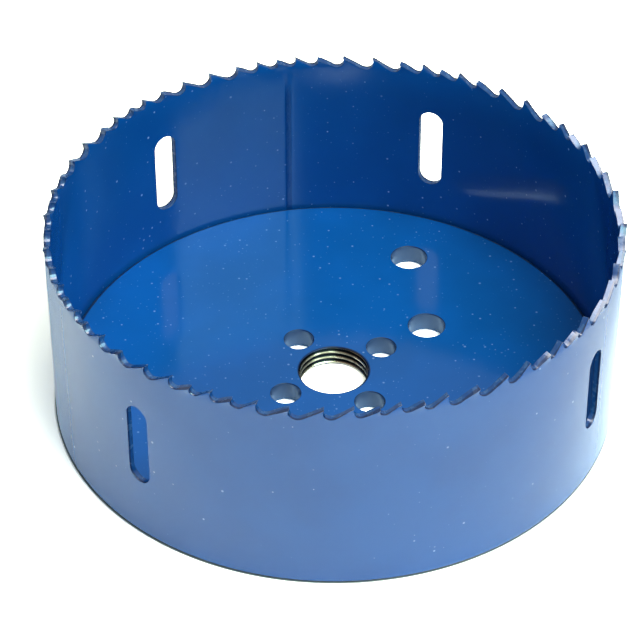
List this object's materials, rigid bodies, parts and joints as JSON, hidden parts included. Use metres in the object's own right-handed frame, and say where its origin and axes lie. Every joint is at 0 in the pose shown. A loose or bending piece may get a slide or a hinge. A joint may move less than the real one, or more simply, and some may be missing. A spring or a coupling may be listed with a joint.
{
  "type": "hole saw",
  "caption": "Deep cup hole saw with set, hooked rim teeth, chip slots in the wall and a thick back plate with a threaded arbor hole and drive pin holes.",
  "frame": {"origin": "on the axis of rotation, at the back face that the saw stands on", "axes": "+Z along the axis of rotation towards the teeth; +X to the right in the picture's view"},
  "size_m": [0.121, 0.1202, 0.0456],
  "materials": {
    "band_paint": "gloss blue enamel on steel strip",
    "plate_paint": "gloss blue enamel on steel plate"
  },
  "bodies": {
    "root": {"saw_band": "band_paint", "back_plate": "plate_paint"}
  },
  "joints": []
}
